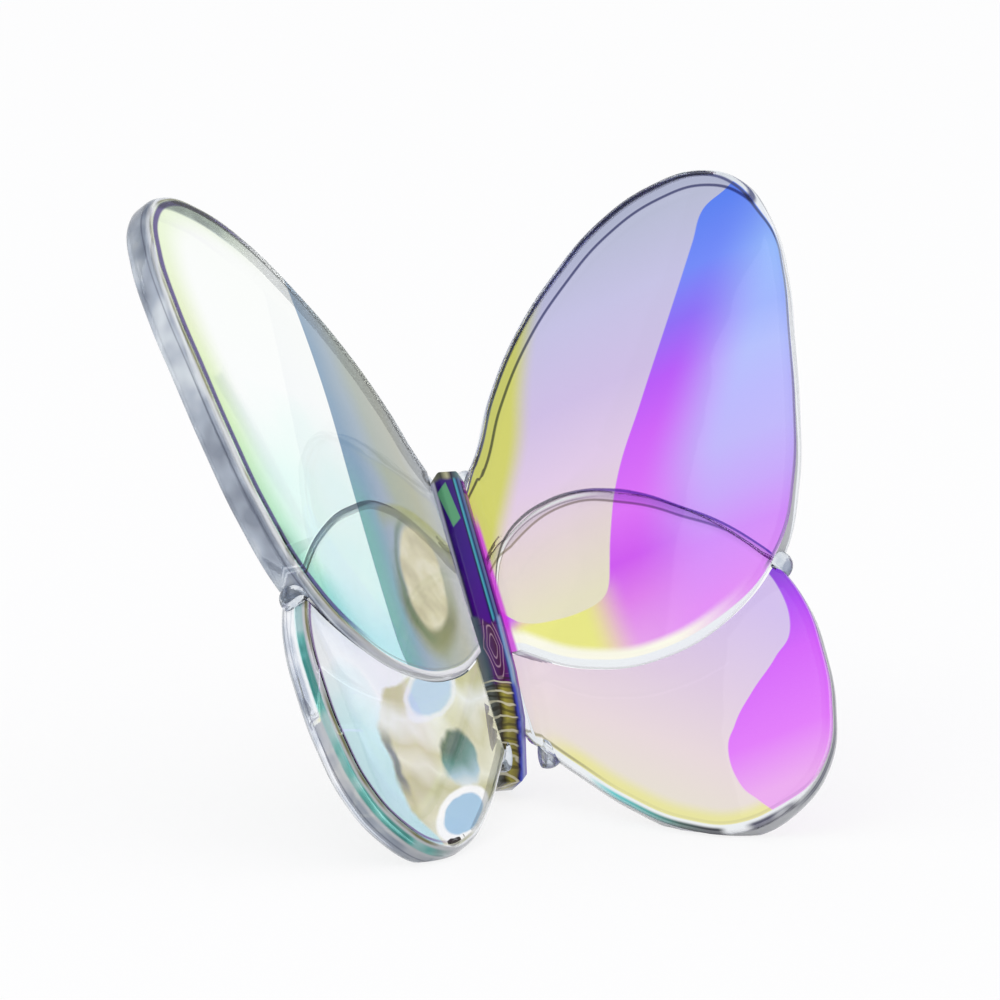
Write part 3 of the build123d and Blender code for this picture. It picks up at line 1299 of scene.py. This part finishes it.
@dataclass
class WingPlate:
    """One crowned plate with a rounded rim, sized in millimetres in the wing plane."""

    name: str
    shares: Sequence[Point]
    reach: float
    length: float
    start: float
    thickness: float
    rim_half: float
    face: float
    rim_radius: float = 1.25
    curve_steps: int = 10
    rim_steps: int = 6
    crown_rings: Sequence[float] = (
        0.97, 0.92, 0.86, 0.79, 0.71, 0.62, 0.52, 0.42, 0.32, 0.22, 0.12, 0.05,
    )
    looseness: float = 1.004
    first_inset: float = 0.0005
    mirror_merge: float = 0.001
    wall: float = 0.02

    @property
    def middle(self) -> Vector:
        """The middle of the outline's box, in metres."""
        return Vector((self.reach / 2, self.start + self.length / 2, 0)) * MM

    @property
    def level(self) -> float:
        """The level of the plate's middle plane, in metres."""
        return (self.face - self.thickness / 2) * MM

    def outline(self, steps: int) -> bpy.types.Object:
        """Draw the outline as a closed mesh line in wing coordinates.

        Args:
            steps: Points between two outline points.

        Returns:
            The outline's object.
        """
        bpy.ops.object.select_all(action="DESELECT")
        bpy.ops.curve.primitive_bezier_circle_add(radius=MM, location=(0, 0, 0))
        drawn = bpy.context.object
        drawn.data.resolution_u = steps
        drawn.data.dimensions = "3D"
        spline = drawn.data.splines[0]
        spline.bezier_points.add(len(self.shares) - len(spline.bezier_points))
        for point, (across, up) in zip(spline.bezier_points, self.shares):
            point.handle_left_type = "AUTO"
            point.handle_right_type = "AUTO"
            point.co = Vector((self.reach * across, self.start + self.length * up, 0)) * MM
        only(drawn)
        bpy.ops.object.convert(target="MESH")
        return bpy.context.object

    def sheet(self) -> bpy.types.Object:
        """Fill the outline with one face that looks to the front.

        Returns:
            The sheet's object.
        """
        made = self.outline(self.curve_steps)
        bpy.ops.object.mode_set(mode="EDIT")
        bpy.ops.mesh.select_all(action="SELECT")
        bpy.ops.mesh.edge_face_add()
        shape = bmesh.from_edit_mesh(made.data)
        shape.faces.ensure_lookup_table()
        if shape.faces[0].normal.z < 0:
            bpy.ops.mesh.flip_normals()
        bpy.ops.mesh.select_mode(type="FACE")
        bpy.ops.mesh.select_all(action="SELECT")
        bpy.ops.object.mode_set(mode="OBJECT")
        return made

    def blank(self) -> bpy.types.Object:
        """Model the whole plate: half of the rim and crown by insets, then its mirror image.

        Returns:
            The plate in wing coordinates, around its middle plane.
        """
        made = self.sheet()
        made.name = self.name
        bpy.ops.object.mode_set(mode="EDIT")
        radius = self.rim_radius
        side = self.rim_half - radius
        bpy.ops.mesh.inset(thickness=self.first_inset * MM, depth=side * MM)
        before = (0.0, 0.0)
        for step in range(1, self.rim_steps + 1):
            angle = math.pi / 2 * step / self.rim_steps
            here = (radius * (1 - math.cos(angle)), radius * math.sin(angle))
            inward, upward = here[0] - before[0], here[1] - before[1]
            bpy.ops.mesh.inset(thickness=inward * MM, depth=upward * MM)
            before = here
        rise = self.thickness / 2 - self.rim_half
        last = 1.0
        for ring in self.crown_rings:
            lift = rise * (last**2 - ring**2)
            bpy.ops.mesh.extrude_region_move(TRANSFORM_OT_translate={"value": (0, 0, lift * MM)})
            size = (ring / last, ring / last, 1)
            bpy.ops.transform.resize(value=size, center_override=self.middle)
            last = ring
        bpy.ops.mesh.poke()
        bpy.ops.object.mode_set(mode="OBJECT")
        mirror = made.modifiers.new("other_face", "MIRROR")
        mirror.use_axis = (False, False, True)
        mirror.merge_threshold = self.mirror_merge * MM
        apply_modifier(made, mirror.name)
        face_outward(made)
        return made

    def column(self, low: float, high: float) -> bpy.types.Object:
        """The column over the outline between two levels of the wing plane.

        Args:
            low: Its lower level in millimetres.
            high: Its upper level in millimetres.

        Returns:
            The column in wing coordinates.
        """
        made = self.sheet()
        made.name = self.name + "_column"
        bpy.ops.object.mode_set(mode="EDIT")
        bpy.ops.transform.translate(value=(0, 0, low * MM))
        size = (self.looseness, self.looseness, 1)
        bpy.ops.transform.resize(value=size, center_override=self.middle)
        height = (0, 0, (high - low) * MM)
        bpy.ops.mesh.extrude_region_move(TRANSFORM_OT_translate={"value": height})
        bpy.ops.object.mode_set(mode="OBJECT")
        face_outward(made)
        return made

    def profile(self, inward: float, height: float) -> float:
        """How far a point is from the middle of the rim, along the plate's surface.

        Args:
            inward: Distance in from the outline.
            height: Height over the plate's middle plane.

        Returns:
            The distance, below zero behind the middle plane.
        """
        side = self.rim_half - self.rim_radius
        if inward < self.wall:
            distance = min(abs(height), side)
        elif inward < self.rim_radius:
            distance = side + self.rim_radius * math.acos(1 - inward / self.rim_radius)
        else:
            distance = side + self.rim_radius * (math.pi / 2 - 1) + inward
        return math.copysign(distance, height)


@dataclass
class OutlineRule:
    """Measures places against a plate's outline, which runs with its inside on the right."""

    plate: WingPlate
    steps: int = 90
    points: list[Vector] = field(init=False)
    tree: KDTree = field(init=False)

    def __post_init__(self) -> None:
        """Draw the outline finely and keep its points in order."""
        drawn = self.plate.outline(self.steps)
        self.points = [vertex.co.copy() for vertex in drawn.data.vertices]
        bpy.data.objects.remove(drawn)
        self.tree = KDTree(len(self.points))
        for index, point in enumerate(self.points):
            self.tree.insert(point, index)
        self.tree.balance()

    def measure(self, point: Vector) -> Point:
        """Measure a point of the wing plane.

        Args:
            point: The place in wing coordinates, in metres.

        Returns:
            The distance inside the outline in millimetres, and the share along the outline.
        """
        flat = Vector((point.x, point.y, 0))
        nearest, index, _ = self.tree.find(flat)
        ahead = self.points[(index + 1) % len(self.points)]
        behind = self.points[index - 1]
        tangent = (ahead - behind).normalized()
        offset = flat - nearest
        leftward = tangent.x * offset.y - tangent.y * offset.x
        gap = offset.length if abs(offset.dot(tangent)) > abs(leftward) else abs(leftward)
        sign = 1 if leftward < 0 else -1
        return sign * gap / MM, index / len(self.points)


def read_map(piece: bpy.types.Object, name: str, face: bpy.types.MeshPolygon) -> list[float]:
    """The distances in millimetres that a map holds at a face's corners."""
    layer = piece.data.uv_layers[name]
    return [(layer.data[loop].uv.x - MAP_SHIFT) * MAP_SCALE for loop in face.loop_indices]


@dataclass
class Wings:
    """The four lapped plates, sized in millimetres."""

    forewing: WingPlate
    hindwing: WingPlate
    bond: float = -2.7
    lap_depth: float = 8.0
    room: float = 130.0
    body_half: float = 2.02
    root_round: float = 3.1
    root_segments: int = 8
    root_edge: float = 4.6
    root_rows: int = 24
    root_step: float = 1.5
    buried_from: float = 0.12
    skin: float = 0.25
    front_sink: float = 0.3
    back_sink: float = 0.6
    smooth_angle: float = 32.0

    def root_room(
        self, plane: WingPlane, face: float, finish: bpy.types.Material
    ) -> bpy.types.Object:
        """The room beside the body for a plate's root, rounded where the front meets the body.

        Its long faces are divided in rows, so that the maps are written along the whole root.

        Args:
            plane: The wing's plane.
            face: Level of the plate's front crown.
            finish: The finish of the faces that it cuts.

        Returns:
            The solid whose inside the plate keeps.
        """
        size = self.room * MM
        beside = self.body_half * MM
        bpy.ops.object.select_all(action="DESELECT")
        bpy.ops.mesh.primitive_cube_add(size=2 * size, location=(beside + size, 0, 0))
        made = bpy.context.object
        made.data.materials.append(finish)
        bpy.ops.object.transform_apply(location=True, rotation=True, scale=True)
        bpy.ops.object.mode_set(mode="EDIT")
        bpy.ops.mesh.select_all(action="SELECT")
        front = plane.origin + plane.front * (face * MM)
        bpy.ops.mesh.bisect(plane_co=front, plane_no=plane.front, use_fill=True, clear_outer=True)
        choose_edges(
            made,
            lambda edge: all(
                abs(vertex.co.x - beside) < TOUCH * MM
                and abs((vertex.co - front).dot(plane.front)) < TOUCH * MM
                for vertex in edge.verts
            ),
        )
        bpy.ops.mesh.bevel(
            offset=self.root_round * MM, segments=self.root_segments, affect="EDGES"
        )
        for row in range(self.root_rows):
            bpy.ops.mesh.select_all(action="SELECT")
            level = plane.origin + plane.rise * (row * self.root_step * MM)
            bpy.ops.mesh.bisect(plane_co=level, plane_no=plane.rise)
        bpy.ops.object.mode_set(mode="OBJECT")
        face_outward(made)
        return made

    def write_maps(
        self, piece: bpy.types.Object, plane: WingPlane, own: OutlineRule, other: OutlineRule
    ) -> None:
        """Write how far each place is from the rim and from the other plate's outline.

        The maps' second number runs along the outline, and goes on past 1 where a face wraps.

        Args:
            piece: The cut plate.
            plane: Its wing plane.
            own: The rule of its own outline.
            other: The rule of the other plate's outline.
        """
        back = plane.matrix(own.plate.level).inverted()
        mesh = piece.data
        rims, laps = [], []
        for vertex in mesh.vertices:
            local = back @ vertex.co
            inward, run = own.measure(local)
            rims.append((own.plate.profile(max(inward, 0.0), local.z / MM), run))
            laps.append(other.measure(local))
        for name, measured in ((RIM_MAP, rims), (LAP_MAP, laps)):
            layer = mesh.uv_layers.new(name=name)
            for face in mesh.polygons:
                places = [measured[mesh.loops[loop].vertex_index] for loop in face.loop_indices]
                runs = [run for _, run in places]
                wraps = max(runs) - min(runs) > 0.5
                for loop, (distance, run) in zip(face.loop_indices, places):
                    turned = run + 1 if wraps and run < 0.5 else run
                    layer.data[loop].uv = (distance / MAP_SCALE + MAP_SHIFT, turned)

    def right_plate(
        self,
        own: OutlineRule,
        other: OutlineRule,
        finish: bpy.types.Material,
        bond_finish: bpy.types.Material,
    ) -> bpy.types.Object:
        """Model a right-hand plate.

        Args:
            own: The rule of the plate's own outline.
            other: The rule of the plate that it is lapped with.
            finish: Its finish.
            bond_finish: The finish of the joint's faces.

        Returns:
            The plate in its place.
        """
        plane = WingPlane(Side.RIGHT)
        plate = own.plate
        made = plate.blank()
        made.data.materials.append(finish)
        plane.place(made, plate.level)
        cut_by(made, self.root_room(plane, plate.face, finish), Cut.INSIDE)
        in_front = plate is self.forewing
        low = self.bond - self.lap_depth if in_front else self.bond
        high = self.bond if in_front else self.bond + self.lap_depth
        block = other.plate.column(low, high)
        block.data.materials.append(bond_finish)
        plane.place(block, 0.0)
        cut_by(made, block, Cut.OUTSIDE)
        only(made)
        bpy.ops.object.mode_set(mode="EDIT")
        bpy.ops.mesh.select_all(action="SELECT")
        bpy.ops.mesh.bisect(
            plane_co=(0, 0, 0), plane_no=(0, 0, 1), use_fill=True, clear_inner=True
        )
        bpy.ops.object.mode_set(mode="OBJECT")
        face_outward(made)
        self.write_maps(made, plane, own, other)
        self.bond_buried(made, plane, other.plate, bond_finish)
        smooth(made, self.smooth_angle)
        return made

    def bond_buried(
        self,
        piece: bpy.types.Object,
        plane: WingPlane,
        other: WingPlate,
        finish: bpy.types.Material,
    ) -> None:
        """Give the bond's finish to the faces that lie inside the other plate's crystal.

        Args:
            piece: The plate with its maps.
            plane: Its wing plane.
            other: The plate that it is lapped with.
            finish: The finish of the joint's faces.
        """
        bond_slot = piece.data.materials.find(finish.name)
        crown = other.thickness / 2 - other.rim_half
        front = (other.face - crown * self.front_sink - self.skin) * MM
        back = (other.face - other.thickness + crown * self.back_sink + self.skin) * MM
        for face in piece.data.polygons:
            level = (face.center - plane.origin).dot(plane.front)
            inside = min(read_map(piece, LAP_MAP, face)) > self.buried_from and back < level < front
            if inside and abs(face.center.x) > self.root_edge * MM:
                face.material_index = bond_slot

    def dress_rim(
        self, piece: bpy.types.Object, finish: WingFinish, bond_finish: bpy.types.Material
    ) -> None:
        """Give the rim's outermost faces the hazier half of a plate's finish.

        Args:
            piece: The plate with its maps.
            finish: The plate's finish.
            bond_finish: The finish of the joint's faces, which stays.
        """
        bond_slot = piece.data.materials.find(bond_finish.name)
        piece.data.materials.append(finish.material(Part.RIM))
        rim_slot = len(piece.data.materials) - 1
        for face in piece.data.polygons:
            reach = max(abs(distance) for distance in read_map(piece, RIM_MAP, face))
            if reach < finish.rim_reach and face.material_index != bond_slot:
                face.material_index = rim_slot

    def left_copy(
        self, piece: bpy.types.Object, name: str, finish: bpy.types.Material
    ) -> bpy.types.Object:
        """Copy a plate to the left side, with its own mesh and finish.

        Args:
            piece: The right-hand plate.
            name: The copy's name.
            finish: The copy's finish.

        Returns:
            The left-hand plate.
        """
        only(piece)
        bpy.ops.object.duplicate()
        made = bpy.context.object
        made.name = name
        bpy.ops.object.mode_set(mode="EDIT")
        bpy.ops.mesh.select_all(action="SELECT")
        bpy.ops.transform.resize(value=(-1, 1, 1), center_override=(0, 0, 0))
        bpy.ops.object.mode_set(mode="OBJECT")
        face_outward(made)
        made.data.materials[0] = finish
        smooth(made, self.smooth_angle)
        return made

    def build(self) -> None:
        """Model, dress and mount the four plates."""
        right, left = WingPlane(Side.RIGHT), WingPlane(Side.LEFT)
        bond_finish = BondFinish().material()
        fore, hind = OutlineRule(self.forewing), OutlineRule(self.hindwing)
        fore_finishes = (
            RightForewingFinish("right_forewing", right),
            LeftForewingFinish("left_forewing", left),
        )
        hind_finishes = (
            RightHindwingFinish("right_hindwing", right),
            LeftHindwingFinish("left_hindwing", left),
        )
        for own, other, finishes in ((fore, hind, fore_finishes), (hind, fore, hind_finishes)):
            faces = [finish.material(Part.FACE) for finish in finishes]
            nodes = [f"{own.plate.name}_{side.word}" for side in Side]
            made = self.right_plate(own, other, faces[0], bond_finish)
            made.name = nodes[0] + "_crystal"
            copy = self.left_copy(made, nodes[1] + "_crystal", faces[1])
            for piece, finish, node in zip((made, copy), finishes, nodes):
                self.dress_rim(piece, finish, bond_finish)
                mount(piece, node)


# The ornament's other pieces


def mount(piece: bpy.types.Object, node: str) -> None:
    """Let a piece ride on the body in the place of a CAD node, and report it.

    Args:
        piece: The finished piece.
        node: The CAD node that it stands for.
    """
    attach(piece, ROOT)
    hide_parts(node)
    log.info("%s: %d faces", piece.name, len(piece.data.polygons))


@dataclass
class EasedSolids:
    """Copies of CAD solids whose sharp edges are eased, as polishing leaves them."""

    frame: dict[str, Any]
    nodes: Sequence[str]
    slot: Slot
    ease: float
    segments: int = 2
    sharp: float = 24.0
    flat: float = 1.0
    smooth_angle: float = 30.0

    def build(self, finish: bpy.types.Material) -> None:
        """Copy, ease, dress and mount each solid.

        Args:
            finish: The finish of them all.
        """
        for node in self.nodes:
            source = self.frame["nodes"][node]
            made = bpy.data.objects.new(node + "_crystal", source.data.copy())
            bpy.context.scene.collection.objects.link(made)
            made.data.materials.clear()
            made.data.materials.append(finish)
            only(made)
            bpy.ops.object.mode_set(mode="EDIT")
            bpy.ops.mesh.select_all(action="SELECT")
            bpy.ops.mesh.remove_doubles(threshold=MERGE * MM)
            bpy.ops.mesh.dissolve_limited(angle_limit=math.radians(self.flat))
            bpy.ops.object.mode_set(mode="OBJECT")
            bevel = made.modifiers.new("ease", "BEVEL")
            bevel.width = self.ease * MM
            bevel.segments = self.segments
            bevel.limit_method = "ANGLE"
            bevel.angle_limit = math.radians(self.sharp)
            apply_modifier(made, bevel.name)
            smooth(made, self.smooth_angle)
            mount(made, node)


@dataclass
class Studio:
    """Pale floor, white surroundings, a soft lamp and the camera, in metres and degrees."""

    distance: float = 0.861
    azimuth: float = 19.5
    elevation: float = 10.6
    shift_right: float = -0.00232
    shift_up: float = 0.0242
    lens: float = 288.0
    sensor: float = 36.0
    nearest: float = 0.01
    floor_radius: float = 4.0
    floor_drop: float = 0.0001
    floor_sides: int = 96
    floor_colour: Colour = tint(243, 243, 244)
    floor_white: float = 0.8
    band_colour: Colour = tint(150, 150, 172)
    band_low: float = 0.55
    band_high: float = 0.85
    band_soft: float = 0.12
    light_colour: Colour = (0.98, 0.98, 1.0, 1)
    lamp_size: float = 0.9
    lamp_power: float = 2.2
    lamp_place: Sequence[float] = (-0.7, -0.5, 1.3)

    def camera(self) -> None:
        """Place the camera at the photograph's viewing angle."""
        azimuth, elevation = math.radians(self.azimuth), math.radians(self.elevation)
        level = math.cos(elevation)
        forward = Vector(
            (math.sin(azimuth) * level, math.cos(azimuth) * level, -math.sin(elevation))
        )
        right = Vector((math.cos(azimuth), -math.sin(azimuth), 0))
        upward = right.cross(forward)
        data = bpy.data.cameras.new("camera")
        data.lens = self.lens
        data.sensor_width = self.sensor
        data.clip_start = self.nearest
        camera = bpy.data.objects.new("camera", data)
        bpy.context.scene.collection.objects.link(camera)
        place = WingPlane(Side.RIGHT).origin - forward * self.distance
        place += right * self.shift_right + upward * self.shift_up
        turn = Matrix((right, upward, -forward)).transposed().to_4x4()
        camera.matrix_world = Matrix.Translation(place) @ turn
        bpy.context.scene.camera = camera

    def floor(self) -> None:
        """A plain pale floor that keeps the object's shadow and is white behind glass."""
        bpy.ops.object.select_all(action="DESELECT")
        bpy.ops.mesh.primitive_circle_add(
            vertices=self.floor_sides,
            radius=self.floor_radius,
            fill_type="NGON",
            location=(0, 0, -self.floor_drop),
        )
        made = bpy.context.object
        made.name = "floor"
        bpy.ops.object.transform_apply(location=True, rotation=True, scale=True)
        paint = Paint(bpy.data.materials.new("pale_floor"))
        matt = paint.node("ShaderNodeBsdfDiffuse", {}, {"Color": self.floor_colour}).outputs[0]
        white = paint.node("ShaderNodeEmission", {}, {"Color": WHITE, "Strength": 1.0}).outputs[0]
        seen = paint.ray("Is Camera Ray") * self.floor_white
        glossy, through = paint.ray("Is Glossy Ray"), paint.ray("Is Transmission Ray")
        amount = paint.maths("MAXIMUM", seen, paint.maths("MAXIMUM", glossy, through))
        mixed = paint.node("ShaderNodeMixShader", {}, {0: amount, 1: matt, 2: white})
        made.data.materials.append(paint.end(mixed))

    def surroundings(self) -> None:
        """White surroundings, with soft grey bands that only glass shows."""
        paint = Paint(bpy.data.worlds.new("surroundings"), "ShaderNodeOutputWorld")
        direction = paint.node("ShaderNodeTexCoord", {}, {}).outputs["Generated"]
        parts = paint.node("ShaderNodeSeparateXYZ", {}, {0: direction})
        height = Value(paint, parts.outputs[2])
        band = paint.band(height, self.band_low, self.band_high, self.band_soft)
        glass = paint.over(WHITE, self.band_colour, band)
        colour = paint.over(glass, WHITE, paint.ray("Is Camera Ray"))
        colour = paint.over(colour, self.light_colour, paint.ray("Is Diffuse Ray"))
        back = paint.node("ShaderNodeBackground", {}, {"Color": colour, "Strength": 1.0})
        bpy.context.scene.world = paint.end(back)

    def lamp(self) -> None:
        """A large soft lamp from the upper left that shapes the shadow."""
        data = bpy.data.lights.new("soft_lamp", "AREA")
        data.shape = "DISK"
        data.size = self.lamp_size
        data.energy = self.lamp_power
        lamp = bpy.data.objects.new("soft_lamp", data)
        bpy.context.scene.collection.objects.link(lamp)
        place = Vector(self.lamp_place)
        turn = (-place).to_track_quat("-Z", "Y").to_matrix().to_4x4()
        lamp.matrix_world = Matrix.Translation(place) @ turn

    def build(self) -> None:
        """Set up the studio."""
        self.camera()
        self.floor()
        self.surroundings()
        self.lamp()
        bpy.context.scene.view_settings.view_transform = "Standard"
        log.info("studio ready")


# Sizes of the plates, as in the part's source, and the whole ornament


FOREWING = WingPlate(
    name="forewing",
    shares=(
        (-0.05, 0.49), (0.06, 0.57), (0.155, 0.695), (0.275, 0.81), (0.415, 0.90),
        (0.57, 0.97), (0.735, 1.0), (0.87, 0.985), (0.965, 0.92), (1.0, 0.815),
        (0.99, 0.69), (0.955, 0.56), (0.91, 0.41), (0.85, 0.26), (0.75, 0.12),
        (0.585, 0.025), (0.385, 0.0), (0.20, 0.045), (0.06, 0.13), (-0.06, 0.24), (-0.09, 0.37),
    ),
    reach=43.1,
    length=58.0,
    start=1.3,
    thickness=5.4,
    rim_half=1.9,
    face=0.5,
)
HINDWING = WingPlate(
    name="hindwing",
    shares=(
        (-0.10, 0.72), (-0.02, 0.87), (0.13, 0.965), (0.34, 1.0), (0.54, 0.94),
        (0.72, 0.835), (0.85, 0.72), (0.945, 0.60), (0.995, 0.48), (1.0, 0.36),
        (0.975, 0.22), (0.90, 0.09), (0.76, 0.015), (0.58, 0.0), (0.40, 0.065),
        (0.235, 0.185), (0.11, 0.31), (0.01, 0.42), (-0.08, 0.53),
    ),
    reach=33.4,
    length=48.8,
    start=-21.8,
    thickness=4.9,
    rim_half=1.85,
    face=-0.9,
)


def main() -> None:
    """Build the ornament and its studio."""
    logging.basicConfig(level=logging.INFO, format="%(message)s")
    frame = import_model()
    Studio().build()
    Wings(FOREWING, HINDWING).build()
    body = EasedSolids(frame, ("thorax", "abdomen"), Slot.BODY, ease=0.16)
    body.build(BodyFinish().material())
    beads = tuple(
        f"{place}_bead_{side.word}" for place in ("notch", "head", "tail") for side in Side
    )
    EasedSolids(frame, beads, Slot.CLEAR, ease=0.05).build(ClearFinish().material())
    bpy.context.view_layer.update()


if __name__ == "__main__":
    main()
